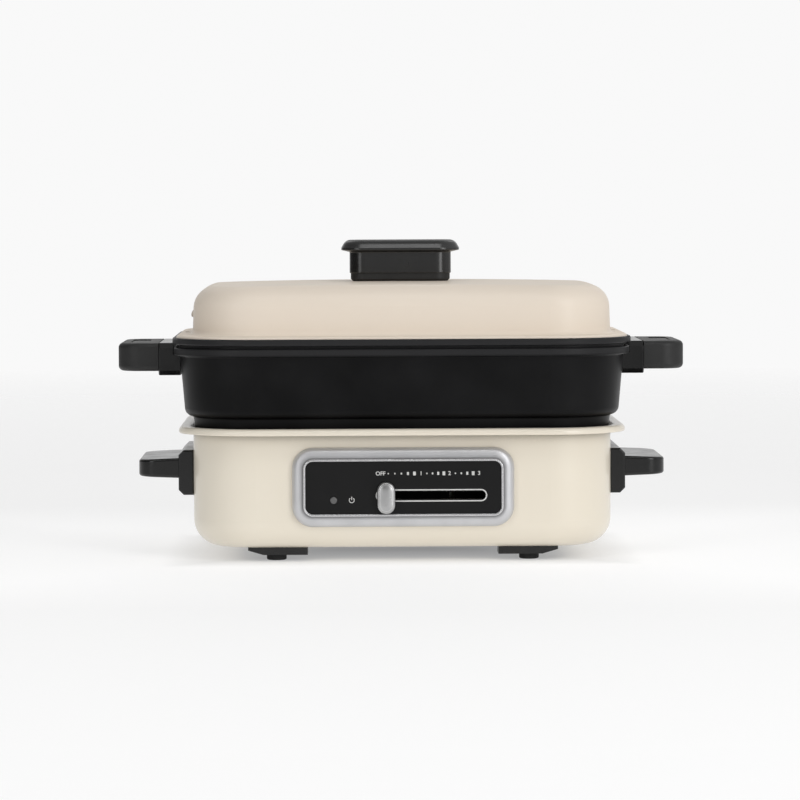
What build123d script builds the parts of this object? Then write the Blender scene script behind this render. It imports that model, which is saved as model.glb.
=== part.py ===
from build123d import *
import math
import os

# A countertop multicooker: an electric base, a deep pot standing in its rim and a lift-off lid.
# Millimetres. The origin is on the table under the middle, +Z is up and the control panel faces -Y.

# Plan shared by base, pot and lid
body_width = 295.5
body_depth = 207.5
body_corner = 45.0

# Fits shared by all pieces
overrun = 3.0
quarter_turn = 90.0
slip_gap = 0.4
screw_gap = 0.2
shaft_gap = 0.08

# Feet
peg_height = 4.2
peg_diameter = 14.0
peg_stem_diameter = 8.0
peg_stem_height = 3.0
pad_height = 5.3
pad_length = 42.0
pad_width = 24.0
pad_taper_length = 11.0
pad_taper_height = 3.2
pad_edge = 1.2
foot_inset_x = 58.75
foot_inset_y = 28.75
pad_outer_reach = 20.0

# Base housing
housing_sheet = 1.2
base_height = 84.5
base_bottom_radius = 18.0
base_turn_in = 31.0
rim_overhang = 10.25
rim_drop = 4.6
rim_bend = 4.0
rim_roll = 2.6
cover_sheet = 1.5
cover_overlap = 6.0
cover_vent_length = 34.0
cover_vent_width = 4.0
cover_vent_pitch = 12.0
cover_vent_count = 5
cover_screw_diameter = 4.0
cover_screw_head = 7.0
cover_screw_sink = 2.4
screw_offset = 12.0

# Pot
pot_sink = 7.0
pot_foot_height = 14.0
pot_foot_inset = 2.15
pot_foot_top_inset = 0.15
pot_wall_low_reach = 5.45
pot_wall_top_reach = 9.25
pot_wall_height = 43.2
pot_flange_reach = 13.4
pot_flange_height = 5.5
pot_groove_reach = 9.5
pot_groove_height = 2.3
pot_lip_reach = 14.4
pot_lip_height = 4.6
pot_ledge_drop = 3.1
pot_bead_width = 2.1
pot_mouth_reach = 5.45
pot_floor = 4.5
pot_floor_inset = 3.6
pot_floor_radius = 12.0
pot_bottom_radius = 6.0
pot_edge = 1.2
pot_fine_edge = 0.6

# Pot handles
pot_grip_reach = 29.1
pot_bracket_thickness = 15.5
pot_bracket_length = 92.0
pot_bracket_height = 23.0
pot_bracket_rise = 2.3
pot_bracket_bevel = 3.4
pot_bracket_edge = 1.0
pot_lug_length = 56.0
pot_lug_height = 8.0
pot_lug_reach = 8.5
pot_lug_floor = 5.0
pot_grip_height = 20.0
pot_grip_corner = 16.0
pot_grip_edge = 3.6
pot_tenon_length = 60.0
pot_tenon_height = 9.0
pot_tenon_reach = 5.0
pot_thumb_length = 56.0
pot_thumb_width = 13.0
pot_thumb_depth = 0.7
pot_screw_diameter = 4.0
pot_screw_head = 7.5
pot_screw_head_height = 2.4
pot_screw_bite = 6.0
pot_screw_span = 34.0

# Lid
lid_sheet = 1.2
lid_wall_reach = 0.2
lid_flange_height = 4.9
lid_flange_roll = 2.3
lid_flange_bend = 4.0
lid_height = 41.3
lid_draft = 2.0
lid_edge_radius = 16.0
lid_crown_radius = 5600.0
lid_slot_length = 14.0
lid_slot_width = 3.0
lid_slot_clear = 4.4
vent_radius = 4.6
vent_sink = 1.5
vent_length = 13.0
vent_rise = 12.5
vent_mouth = 1.6

# Lid knob
knob_base_height = 5.6
knob_base_inset = 0.8
knob_base_bevel = 1.6
knob_width = 73.0
knob_depth = 36.0
knob_corner = 11.0
knob_height = 23.9
knob_cap_overhang = 6.0
knob_cap_flare = 1.4
knob_cap_height = 7.3
knob_cap_lip = 1.5
knob_cap_slope = 3.2
knob_cap_roll = 6.0
knob_edge = 0.6
knob_screw_diameter = 5.0
knob_screw_length = 20.0
knob_screw_head = 10.0
knob_screw_head_height = 3.0
knob_washer_diameter = 18.0
knob_washer_thickness = 1.2

# Base handles
base_grip_reach = 28.7
base_boss_thickness = 11.2
base_boss_length = 103.0
base_boss_height = 32.0
base_boss_drop = 18.0
base_boss_bevel = 3.6
base_boss_edge = 1.2
base_grip_length = 97.0
base_grip_root = 14.2
base_grip_tip = 12.0
base_grip_lift = 3.0
base_grip_corner = 13.0
base_grip_edge = 1.9
base_screw_diameter = 4.0
base_screw_head = 8.0
base_screw_head_height = 2.6
base_screw_length = 12.0
base_screw_span = 64.0

# Control panel
bezel_width = 155.0
bezel_height = 55.4
bezel_corner = 14.5
bezel_frame = 9.3
bezel_depth = 8.25
bezel_edge_height = 4.2
bezel_edge_radius = 5.0
bezel_crest_drop = 1.1
bezel_lip_width = 1.6
bezel_ledge = 1.0
bezel_lip_edge = 0.45
panel_height_up = 43.5
panel_recess = 1.4
panel_sheet = 2.0
panel_post_diameter = 4.0
panel_post_inset = 7.0
slot_length = 75.5
slot_height = 5.6
slot_centre_x = 19.5
slot_drop = 5.5
lens_diameter = 4.8
lens_flange = 7.0
lens_flange_thickness = 1.0
lens_dome = 0.7
lens_x = -48.6
lens_drop = 8.7
lamp_diameter = 3.0
lamp_edge = 1.0
lamp_board_width = 9.0
lamp_board_height = 7.0
lamp_board_thickness = 1.0

# Slide, rack and thermostat drive
slide_travel = 65.0
slide_rest_x = -12.0
slide_knob_width = 12.5
slide_knob_height = 22.0
slide_knob_depth = 5.4
slide_knob_edge = 1.6
slide_knob_drop = 1.5
slide_stem_width = 6.0
slide_stem_height = 4.6
slide_stem_length = 6.5
rack_height = 9.0
rack_back = 3.4
gear_module = 1.25
gear_teeth = 20
gear_pressure_angle = 20.0
gear_root_share = 1.25
gear_backlash = 0.36
gear_thickness = 7.0
rack_end_teeth = 2
track_sheet = 1.2
track_margin = 5.0
shaft_diameter = 6.0
shaft_flat = 1.5
hub_diameter = 12.0
hub_height = 3.0
thermostat_width = 34.0
thermostat_depth = 25.0
thermostat_shaft_from_front = 7.0
thermostat_edge = 2.0
thermostat_bracket_sheet = 1.5
thermostat_bracket_ear = 12.0
thermostat_tab_width = 6.3
thermostat_tab_thickness = 0.8
thermostat_tab_length = 9.0
thermostat_tab_sink = 3.0
thermostat_tab_span = 18.0
thermostat_tab_rise = 9.0
rivet_diameter = 4.0
rivet_height = 1.4

# Heat reflector and element
reflector_sheet = 0.8
reflector_flange = 9.0
reflector_depth = 24.0
reflector_draft = 5.0
reflector_radius = 6.0
bracket_sheet = 1.4
bracket_width = 18.0
bracket_drop = 18.0
bracket_reach = 7.2
bracket_bend = 2.2
bracket_from_corner = 14.75
element_diameter = 8.0
element_drop = 2.0
element_inset_x = 41.75
element_inset_y = 36.75
element_corner = 30.0
element_tongue_width = 74.0
element_tongue_depth = 52.0
element_bend = 18.0
element_end_span = 40.0
element_end_inset = 36.0
element_end_bend = 14.0
element_end_length = 14.0
clip_width = 18.0
clip_thickness = 4.0
clip_gap = 0.1
terminal_diameter = 3.0
terminal_length = 9.0
terminal_tab = 6.3
terminal_tab_thickness = 1.5
fuse_length = 22.0
fuse_width = 9.0
fuse_height = 6.0
fuse_x = -62.0
fuse_edge = 1.5

# Power inlet
inlet_width = 50.0
inlet_height = 32.0
inlet_flange = 3.0
inlet_corner = 6.0
inlet_edge = 1.0
inlet_box_corner = 3.0
inlet_socket_corner = 2.0
inlet_socket_width = 34.0
inlet_socket_height = 18.0
inlet_socket_depth = 9.0
inlet_wall = 2.2
inlet_floor = 3.0
inlet_rise = 36.0
inlet_pin_diameter = 4.0
inlet_pin_edge = 1.0
inlet_pin_span = 20.0
inlet_pin_tail = 6.0
wire_diameter = 2.6
wire_bend = 9.0
wire_drop = 10.0
wire_lead = 18.0
wire_loop = 22.0
wire_right_x = 48.0

# Levels, from the table upwards
base_underside = peg_height + pad_height
rim_top = base_underside + base_height
cover_bottom = base_underside + housing_sheet
cover_top = cover_bottom + cover_sheet
seat_height = rim_top - pot_sink
pot_shoulder = seat_height + pot_foot_height
flange_bottom = pot_shoulder + pot_wall_height
flange_top = flange_bottom + pot_flange_height
lip_bottom = flange_top + pot_groove_height
lip_top = lip_bottom + pot_lip_height
lid_seat = lip_top - pot_ledge_drop
lid_flange_top = lid_seat + lid_flange_height
lid_top = lid_seat + lid_height
washer_top = lid_top - lid_sheet - knob_washer_diameter**2 / (8 * lid_crown_radius)
knob_seam = lid_top + knob_base_height

# Places worked out from the sizes above
side_x = body_width / 2
front_y = -body_depth / 2
back_y = body_depth / 2
inner_front_y = front_y + housing_sheet
panel_z = base_underside + panel_height_up
slot_z = panel_z - slot_drop
panel_front = bezel_depth - panel_recess
panel_back = panel_front - panel_sheet
gear_pitch_radius = gear_module * gear_teeth / 2
gear_tip_radius = gear_pitch_radius + gear_module
gear_root_radius = gear_pitch_radius - gear_root_share * gear_module
rack_pitch = math.pi * gear_module
rack_front_y = inner_front_y + track_sheet + slip_gap
rack_root_y = rack_front_y + rack_back
rack_pitch_y = rack_root_y + gear_root_share * gear_module
gear_x = slide_rest_x + slide_travel / 2
gear_y = rack_pitch_y + gear_pitch_radius
gear_bottom = slot_z - gear_thickness / 2
thermostat_bottom = cover_top + thermostat_bracket_sheet
thermostat_top = gear_bottom - hub_height - slip_gap
thermostat_y = gear_y - thermostat_shaft_from_front + thermostat_depth / 2
reflector_offset = -housing_sheet - slip_gap
reflector_wall_offset = reflector_offset - reflector_flange
reflector_floor_top = seat_height - reflector_depth + reflector_sheet
reflector_floor_bottom = seat_height - reflector_depth
element_half_x = side_x - element_inset_x
element_half_y = back_y - element_inset_y
element_z = seat_height - element_drop - element_diameter / 2
element_end_y = element_half_y - element_end_inset
element_end_z = reflector_floor_bottom - element_end_length
inlet_z = base_underside + inlet_rise
inlet_body_end_y = back_y + inlet_flange - inlet_socket_depth - inlet_floor
bracket_inner_x = side_x + pot_wall_top_reach + slip_gap
bracket_outer_x = bracket_inner_x + pot_bracket_thickness
bracket_top = flange_top + pot_bracket_rise
bracket_bottom = bracket_top - pot_bracket_height
pot_grip_end_x = bracket_outer_x + pot_grip_reach
grip_inner_x = side_x + base_boss_thickness
boss_bottom = rim_top - base_boss_drop - base_boss_height


def plan(offset):
    """The cooker's outline, a rounded rectangle, grown by an offset."""
    return RectangleRounded(body_width + 2 * offset, body_depth + 2 * offset, body_corner + offset)


def slab(offset, bottom, top, draft=0):
    """A solid of the cooker's outline between two levels, drawn in upwards by a draft angle."""
    return Pos(0, 0, bottom) * extrude(plan(offset), amount=top - bottom, taper=draft)


def block(low, high):
    """A box between two corners."""
    size = [b - a for a, b in zip(low, high)]
    middle = [(a + b) / 2 for a, b in zip(low, high)]
    return Pos(*middle) * Box(*size)


def rod(start, end, diameter):
    """A round bar between two points."""
    line = Line(start, end)
    return extrude(Plane(origin=start, z_dir=line % 0) * Circle(diameter / 2), amount=line.length)


def around(profile, width, depth, corner):
    """A band: the profile, drawn outwards from the outline, follows the sides and turns at each corner."""
    run_x = width / 2 - corner
    run_y = depth / 2 - corner
    section = Plane.XZ * (Pos(corner, 0) * profile)
    turned = Rot(0, 0, 90) * section
    side = extrude(Pos(run_x, 0, 0) * section, amount=run_y, dir=(0, 1, 0))
    end = extrude(Pos(0, run_y, 0) * turned, amount=run_x, dir=(1, 0, 0))
    turn = revolve(Pos(run_x, run_y, 0) * section, Axis((run_x, run_y, 0), (0, 0, 1)), 90)
    quarter = side + turn + end
    half = quarter + mirror(quarter, about=Plane.YZ)
    return half + mirror(half, about=Plane.XZ)


def sheet(points, radii, thickness):
    """The section of bent sheet metal, from the middle line of its bends."""
    return make_face(FilletPolyline(*points, radius=radii).offset_2d(thickness / 2))


def outlined(points, radii):
    """A closed section with a radius at each corner."""
    return make_face(FilletPolyline(*points, radius=radii, close=True))


def both_sides(piece):
    """A piece of the right side and its mirror image, left then right."""
    return mirror(piece, about=Plane.YZ), piece


def four_corners(piece):
    """A piece of the rear right corner, copied to the front and to the left."""
    right = [piece, mirror(piece, about=Plane.XZ)]
    return right + [mirror(each, about=Plane.YZ) for each in right]


def base_housing():
    half = housing_sheet / 2
    line = [
        (-base_turn_in, base_underside + half),
        (-half, base_underside + half),
        (-half, rim_top - half),
        (rim_overhang - half, rim_top - half),
        (rim_overhang - half, rim_top - rim_drop + half),
    ]
    section = sheet(line, [base_bottom_radius, rim_bend, rim_roll], housing_sheet)
    shell = around(section, body_width, body_depth, body_corner)
    shell -= slide_window(front_y - overrun, inner_front_y + overrun)
    shell -= inlet_body(inlet_wall + screw_gap) & slab(overrun, 0, rim_top)
    for each in four_corners(handle_screw_hole()):
        shell -= each
    for each in four_corners(foot_screw_hole()):
        shell -= each
    return shell


def slide_window(front, back):
    """The opening behind the slot that the slide's arm travels in."""
    low = (slot_centre_x - slot_length / 2, front, slot_z - slot_height / 2 - slip_gap)
    high = (slot_centre_x + slot_length / 2, back, slot_z + slot_height / 2 + slip_gap)
    return block(low, high)


def handle_screw_hole():
    start = (side_x - housing_sheet - overrun, base_screw_span / 2, boss_bottom + base_boss_height / 2)
    end = (side_x + base_screw_length, base_screw_span / 2, boss_bottom + base_boss_height / 2)
    return rod(start, end, base_screw_diameter + 2 * screw_gap)


def base_handle_screw():
    x = side_x - housing_sheet
    y = base_screw_span / 2
    z = boss_bottom + base_boss_height / 2
    shank = rod((x, y, z), (x + base_screw_length, y, z), base_screw_diameter)
    return shank + rod((x - base_screw_head_height, y, z), (x, y, z), base_screw_head)


def base_handle():
    low = (side_x, -base_boss_length / 2, boss_bottom)
    high = (grip_inner_x, base_boss_length / 2, boss_bottom + base_boss_height)
    boss = block(low, high)
    outer = boss.faces().sort_by(Axis.X)[-1].edges().filter_by(Axis.Y)
    boss = chamfer(outer, base_boss_bevel)
    ends = boss.faces().sort_by(Axis.Y)
    boss = fillet(ends[0].edges() + ends[-1].edges(), base_boss_edge)

    tip_x = grip_inner_x + base_grip_reach
    middle = boss_bottom + base_boss_height / 2 + base_grip_lift
    root = base_boss_bevel
    section = Polyline(
        (grip_inner_x - root, middle - base_grip_root / 2),
        (grip_inner_x, middle - base_grip_root / 2),
        (tip_x, middle - base_grip_tip / 2),
        (tip_x, middle + base_grip_tip / 2),
        (grip_inner_x, middle + base_grip_root / 2),
        (grip_inner_x - root, middle + base_grip_root / 2),
        close=True,
    )
    grip = extrude(Plane.XZ * make_face(section), amount=base_grip_length / 2, both=True)
    tip = grip.faces().sort_by(Axis.X)[-1].edges().filter_by(Axis.Z)
    grip = fillet(tip, base_grip_corner)
    outer = [edge for edge in grip.edges() if edge.center().X > grip_inner_x + base_grip_edge]
    level = [edge for edge in outer if abs(edge.center().Z - middle) > base_grip_tip / 4]
    grip = fillet(level, base_grip_edge)
    handle = boss + grip
    hole = handle_screw_hole()
    return handle - hole - mirror(hole, about=Plane.XZ)


def foot_centre():
    return side_x - foot_inset_x, back_y - foot_inset_y


def foot_pad():
    x, y = foot_centre()
    outer = x + pad_outer_reach
    inner = outer - pad_length
    section = Polyline(
        (inner, base_underside),
        (inner, peg_height),
        (outer - pad_taper_length, peg_height),
        (outer, peg_height + pad_taper_height),
        (outer, base_underside),
        close=True,
    )
    pad = extrude(Plane.XZ * make_face(section), amount=pad_width / 2, both=True)
    pad = fillet(pad.edges().filter_by(Axis.Z), pad_edge)
    pad = Pos(0, y, 0) * pad
    pad -= rod((x, y, 0), (x, y, peg_height + peg_stem_height + slip_gap), peg_stem_diameter + 2 * screw_gap)
    return pad - foot_screw_hole() - foot_screw_sink()


def foot_peg():
    x, y = foot_centre()
    disc = rod((x, y, 0), (x, y, peg_height), peg_diameter)
    disc = fillet(disc.faces().sort_by(Axis.Z)[0].edges(), pad_edge)
    return disc + rod((x, y, peg_height), (x, y, peg_height + peg_stem_height), peg_stem_diameter)


def foot_screw_place():
    x, y = foot_centre()
    return x - screw_offset, y


def foot_screw_hole():
    x, y = foot_screw_place()
    return rod((x, y, 0), (x, y, cover_top + overrun), cover_screw_diameter + 2 * screw_gap)


def foot_screw_sink():
    x, y = foot_screw_place()
    start = (x, y, peg_height - overrun)
    return rod(start, (x, y, peg_height + cover_screw_sink), cover_screw_head + 2 * screw_gap)


def foot_screw():
    x, y = foot_screw_place()
    head_bottom = peg_height + slip_gap
    head_top = peg_height + cover_screw_sink
    head = rod((x, y, head_bottom), (x, y, head_top), cover_screw_head)
    return head + rod((x, y, head_top), (x, y, cover_top + cover_sheet), cover_screw_diameter)


def bottom_cover():
    offset = -base_turn_in + cover_overlap
    cover = slab(offset, cover_bottom, cover_top)
    vent = Rot(0, 0, 90) * SlotOverall(cover_vent_length, cover_vent_width)
    row = GridLocations(cover_vent_pitch, 0, cover_vent_count, 1)
    vents = extrude(Sketch() + row * vent, amount=cover_sheet + 2 * overrun)
    cover -= Pos(0, 0, cover_bottom - overrun) * vents
    for each in four_corners(foot_screw_hole()):
        cover -= each
    return cover


def control_bezel():
    section = outlined(
        [
            (0, 0),
            (0, bezel_edge_height),
            (-bezel_frame + bezel_lip_width, bezel_depth - bezel_crest_drop),
            (-bezel_frame + bezel_lip_width, bezel_depth),
            (-bezel_frame, bezel_depth),
            (-bezel_frame, panel_front),
            (-bezel_frame + bezel_ledge, panel_front),
            (-bezel_frame + bezel_ledge, 0),
        ],
        [0, bezel_edge_radius, 0, bezel_lip_edge, bezel_lip_edge, 0, 0, 0],
    )
    ring = around(section, bezel_width, bezel_height, bezel_corner)
    return Pos(0, front_y, panel_z) * Rot(90, 0, 0) * ring


def face_plane(height):
    """The plane of the control panel at a height above the front wall, facing forwards."""
    return Pos(0, front_y - height, panel_z) * Rot(90, 0, 0)


def control_panel():
    inset = bezel_frame - bezel_ledge + screw_gap
    width = bezel_width - 2 * inset
    height = bezel_height - 2 * inset
    corner = bezel_corner - inset
    plate = extrude(RectangleRounded(width, height, corner), amount=panel_sheet)
    slot = Pos(slot_centre_x, -slot_drop) * SlotOverall(slot_length, slot_height)
    plate -= extrude(slot, amount=panel_sheet)
    lens_hole = Pos(lens_x, -lens_drop) * Circle(lens_diameter / 2 + screw_gap)
    plate -= extrude(lens_hole, amount=panel_sheet)
    span_x = width - 2 * panel_post_inset
    span_y = height - 2 * panel_post_inset
    posts = Sketch() + GridLocations(span_x, span_y, 2, 2) * Circle(panel_post_diameter / 2)
    plate += Pos(0, 0, -panel_back) * extrude(posts, amount=panel_back)
    return face_plane(panel_back) * plate


def indicator_lens():
    flange = Pos(0, 0, -lens_flange_thickness) * extrude(Circle(lens_flange / 2), amount=lens_flange_thickness)
    pin = extrude(Circle(lens_diameter / 2), amount=panel_sheet + lens_dome)
    pin = fillet(pin.faces().sort_by(Axis.Z)[-1].edges(), lens_dome)
    return face_plane(panel_back) * Pos(lens_x, -lens_drop, 0) * (flange + pin)


def indicator_lamp():
    board = extrude(Rectangle(lamp_board_width, lamp_board_height), amount=lamp_board_thickness)
    length = panel_back - lens_flange_thickness - screw_gap
    bulb = extrude(Circle(lamp_diameter / 2), amount=length)
    bulb = fillet(bulb.faces().sort_by(Axis.Z)[-1].edges(), lamp_edge)
    return face_plane(0) * Pos(lens_x, -lens_drop, 0) * (board + bulb)


def slide_knob():
    height = panel_front + slip_gap
    pill = SlotOverall(slide_knob_height, slide_knob_width, rotation=90)
    grip = extrude(pill, amount=slide_knob_depth)
    grip = fillet(grip.faces().sort_by(Axis.Z)[-1].edges(), slide_knob_edge)
    grip = Pos(0, -slide_knob_drop, 0) * grip
    stem = extrude(Rectangle(slide_stem_width, slide_stem_height), amount=-slide_stem_length)
    return face_plane(height) * Pos(slide_rest_x, -slot_drop, 0) * (grip + stem)


def rack_teeth_count():
    return math.ceil(slide_travel / rack_pitch) + 2 * rack_end_teeth


def slide_rack():
    count = rack_teeth_count()
    length = (count + 1) * rack_pitch
    slant = math.tan(math.radians(gear_pressure_angle))
    half_tooth = rack_pitch / 4 - gear_backlash / 4
    root_half = half_tooth + (rack_pitch_y - rack_root_y) * slant
    tip_half = half_tooth - gear_module * slant
    tooth = make_face(
        Polyline(
            (-root_half, 0),
            (root_half, 0),
            (tip_half, rack_pitch_y - rack_root_y + gear_module),
            (-tip_half, rack_pitch_y - rack_root_y + gear_module),
            close=True,
        )
    )
    bar = Pos(0, -rack_back / 2) * Rectangle(length, rack_back)
    first = gear_x + (rack_end_teeth - count + 1) * rack_pitch
    middle = first + (count - 1) * rack_pitch / 2
    outline = Pos(middle, rack_root_y) * bar
    for index in range(count):
        outline += Pos(first + index * rack_pitch, rack_root_y) * tooth
    rack = Pos(0, 0, slot_z - rack_height / 2) * extrude(outline, amount=rack_height)
    stem_end = front_y - panel_front - slip_gap + slide_stem_length
    low = (slide_rest_x - slide_stem_width / 2, stem_end, slot_z - slide_stem_height / 2)
    high = (slide_rest_x + slide_stem_width / 2, rack_front_y, slot_z + slide_stem_height / 2)
    return rack + block(low, high)


def slide_track():
    count = rack_teeth_count()
    reach = (count + 1) * rack_pitch / 2
    first = gear_x + (rack_end_teeth - count + 1) * rack_pitch
    middle = first + (count - 1) * rack_pitch / 2
    left = middle - reach - slip_gap
    right = middle + reach + slide_travel + slip_gap
    lip = slot_z + rack_height / 2 + slip_gap
    plate_half = rack_height / 2 + slip_gap + track_sheet + track_margin
    plate = block(
        (left, inner_front_y, slot_z - plate_half),
        (right, inner_front_y + track_sheet, slot_z + plate_half),
    )
    upper = block((left, inner_front_y, lip), (right, rack_root_y - slip_gap, lip + track_sheet))
    lower = mirror(upper, about=Plane.XY.offset(slot_z))
    return plate + upper + lower - slide_window(front_y, rack_front_y)


def gear_outline():
    """Involute teeth on their root circle, with a tooth gap facing -Y."""
    pressure = math.radians(gear_pressure_angle)
    base_radius = gear_pitch_radius * math.cos(pressure)
    pitch_roll = math.tan(pressure) - pressure
    half_angle = (math.pi / 2 - gear_backlash / (2 * gear_module)) / gear_teeth

    def flank(radius):
        turn = math.acos(min(1, base_radius / radius))
        angle = half_angle + pitch_roll - (math.tan(turn) - turn)
        return radius * math.cos(angle), radius * math.sin(angle)

    start = max(base_radius, gear_root_radius)
    radii = [start, (start + gear_tip_radius) / 2, gear_tip_radius]
    upper = [flank(radius) for radius in radii]
    lower = [(x, -y) for x, y in upper]
    root_angle = math.atan2(upper[0][1], upper[0][0])
    inner = gear_root_radius - gear_module / 2
    foot = (inner * math.cos(root_angle), inner * math.sin(root_angle))
    edges = [
        Line(foot, upper[0]),
        Spline(*upper),
        ThreePointArc(upper[-1], (gear_tip_radius, 0), lower[-1]),
        Spline(*reversed(lower)),
        Line(lower[0], (foot[0], -foot[1])),
        Line((foot[0], -foot[1]), foot),
    ]
    tooth = make_face(edges)
    gear = Circle(gear_root_radius)
    step = 360 / gear_teeth
    for index in range(gear_teeth):
        gear += Rot(0, 0, -90 + (index + 1 / 2) * step) * tooth
    return gear


def thermostat_pinion():
    gear = Pos(gear_x, gear_y, gear_bottom) * extrude(gear_outline(), amount=gear_thickness)
    hub = rod((gear_x, gear_y, gear_bottom - hub_height), (gear_x, gear_y, gear_bottom), hub_diameter)
    pinion = gear + hub
    return pinion - flatted_shaft(shaft_gap, gear_bottom - hub_height - overrun, slot_z + gear_thickness)


def flatted_shaft(gap, bottom, top):
    """The thermostat's shaft with a flat on one side, grown by a gap."""
    radius = shaft_diameter / 2 + gap
    flat = shaft_flat + gap
    shaft = rod((gear_x, gear_y, bottom), (gear_x, gear_y, top), 2 * radius)
    low = (gear_x - radius, gear_y + flat, bottom)
    return shaft - block(low, (gear_x + radius, gear_y + 2 * radius, top))


def thermostat_shaft():
    foot = thermostat_bottom + (thermostat_top - thermostat_bottom) / 2
    round_part = rod((gear_x, gear_y, foot), (gear_x, gear_y, thermostat_top), shaft_diameter)
    return round_part + flatted_shaft(0, thermostat_top, gear_bottom + gear_thickness)


def thermostat_body():
    low = (gear_x - thermostat_width / 2, thermostat_y - thermostat_depth / 2, thermostat_bottom)
    high = (gear_x + thermostat_width / 2, thermostat_y + thermostat_depth / 2, thermostat_top)
    body = block(low, high)
    body = fillet(body.edges().filter_by(Axis.Z), thermostat_edge)
    foot = thermostat_bottom + (thermostat_top - thermostat_bottom) / 2 - slip_gap
    mouth = (gear_x, gear_y, thermostat_top + overrun)
    body -= rod((gear_x, gear_y, foot), mouth, shaft_diameter + 2 * shaft_gap)
    for x in (gear_x - thermostat_tab_span / 2, gear_x + thermostat_tab_span / 2):
        body -= thermostat_tab_at(x)
    return body


def thermostat_tab_at(x):
    back = thermostat_y + thermostat_depth / 2
    z = thermostat_bottom + thermostat_tab_rise
    low = (x - thermostat_tab_width / 2, back - thermostat_tab_sink, z)
    high = (x + thermostat_tab_width / 2, back + thermostat_tab_length, z + thermostat_tab_thickness)
    return block(low, high)


def thermostat_tabs():
    return [
        thermostat_tab_at(gear_x - thermostat_tab_span / 2),
        thermostat_tab_at(gear_x + thermostat_tab_span / 2),
    ]


def thermostat_bracket():
    half = thermostat_width / 2 + thermostat_bracket_ear
    cover_edge_y = front_y + base_turn_in - cover_overlap
    low = (gear_x - half, cover_edge_y + slip_gap, cover_top)
    high = (gear_x + half, thermostat_y + thermostat_depth / 2, thermostat_bottom)
    plate = block(low, high)
    return fillet(plate.edges().filter_by(Axis.Z), thermostat_edge)


def bracket_rivets():
    shift = thermostat_width / 2 + thermostat_bracket_ear / 2
    rivets = []
    for x in (gear_x - shift, gear_x + shift):
        start = (x, thermostat_y, thermostat_bottom)
        head = rod(start, (x, thermostat_y, thermostat_bottom + rivet_height), rivet_diameter)
        rivets.append(fillet(head.faces().sort_by(Axis.Z)[-1].edges(), rivet_height / 2))
    return rivets


def tray(offset, depth, radius):
    """A pan of the cooker's outline hanging from the pot's seat, with drawn-in walls."""
    form = extrude(plan(offset), amount=depth, taper=reflector_draft)
    form = fillet(form.faces().sort_by(Axis.Z)[-1].edges(), radius)
    return Pos(0, 0, seat_height) * Rot(180, 0, 0) * form


def heat_reflector():
    flange = slab(reflector_offset, seat_height - reflector_sheet, seat_height)
    outer = tray(reflector_wall_offset, reflector_depth, reflector_radius)
    inner = tray(reflector_wall_offset - reflector_sheet, reflector_depth - reflector_sheet, reflector_radius)
    pan = flange + outer - inner
    for x in (-element_end_span / 2, element_end_span / 2):
        low = (x, element_end_y, reflector_floor_bottom - overrun)
        high = (x, element_end_y, reflector_floor_top + overrun)
        pan -= rod(low, high, element_diameter + 2 * slip_gap)
    return pan


def reflector_bracket():
    half = bracket_sheet / 2
    wall = back_y - housing_sheet - half
    top = seat_height - reflector_sheet - half
    line = [(wall, top - bracket_drop), (wall, top), (wall - bracket_reach, top)]
    section = sheet(line, [bracket_bend], bracket_sheet)
    strip = extrude(Plane.YZ * section, amount=bracket_width / 2, both=True)
    return Pos(side_x - body_corner - bracket_from_corner, 0, 0) * strip


def element_path():
    half_x = element_half_x
    half_y = element_half_y
    tongue = element_tongue_width / 2
    inner_y = -half_y + element_tongue_depth
    end_x = element_end_span / 2
    right = [
        (end_x, element_end_y, element_end_z),
        (end_x, element_end_y, element_z),
        (end_x, half_y, element_z),
        (half_x, half_y, element_z),
        (half_x, -half_y, element_z),
        (tongue, -half_y, element_z),
        (tongue, inner_y, element_z),
    ]
    left = [(-x, y, z) for x, y, z in reversed(right)]
    radii = [element_end_bend, element_bend, element_corner, element_corner, element_bend, element_bend]
    return FilletPolyline(*right, *left, radius=radii + radii[::-1])


def heating_element():
    path = element_path()
    section = Plane(origin=path @ 0, z_dir=path % 0) * Circle(element_diameter / 2)
    return sweep(section, path=path)


def element_clips():
    clips = []
    half_x = element_half_x
    half_y = element_half_y
    along_x = (half_x + element_tongue_width / 2) / 2
    across = [(along_x, -half_y), (-along_x, -half_y), (along_x, half_y), (-along_x, half_y)]
    places = [(x, y, quarter_turn) for x, y in across] + [(half_x, 0, 0), (-half_x, 0, 0)]
    height = element_z - reflector_floor_top
    for x, y, turn in places:
        plate = block((-clip_width / 2, -clip_thickness / 2, 0), (clip_width / 2, clip_thickness / 2, height))
        groove = (element_diameter / 2 + clip_gap) * 2
        plate -= rod((0, -clip_thickness, height), (0, clip_thickness, height), groove)
        clips.append(Pos(x, y, reflector_floor_top) * Rot(0, 0, turn) * plate)
    return clips


def element_terminals():
    pins = []
    for x in (-element_end_span / 2, element_end_span / 2):
        start = (x, element_end_y, element_end_z)
        pin = rod(start, (x, element_end_y, element_end_z - terminal_length), terminal_diameter)
        half = terminal_tab_thickness / 2
        low = (x - terminal_tab / 2, element_end_y - half, element_end_z - 2 * terminal_length)
        high = (x + terminal_tab / 2, element_end_y + half, element_end_z - terminal_length / 2)
        pins.append(pin + block(low, high))
    return pins


def thermal_fuse():
    low = (fuse_x - fuse_length / 2, -fuse_width / 2, reflector_floor_bottom - fuse_height)
    high = (fuse_x + fuse_length / 2, fuse_width / 2, reflector_floor_bottom)
    case = block(low, high)
    return fillet(case.edges().filter_by(Axis.X), fuse_edge)


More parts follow.
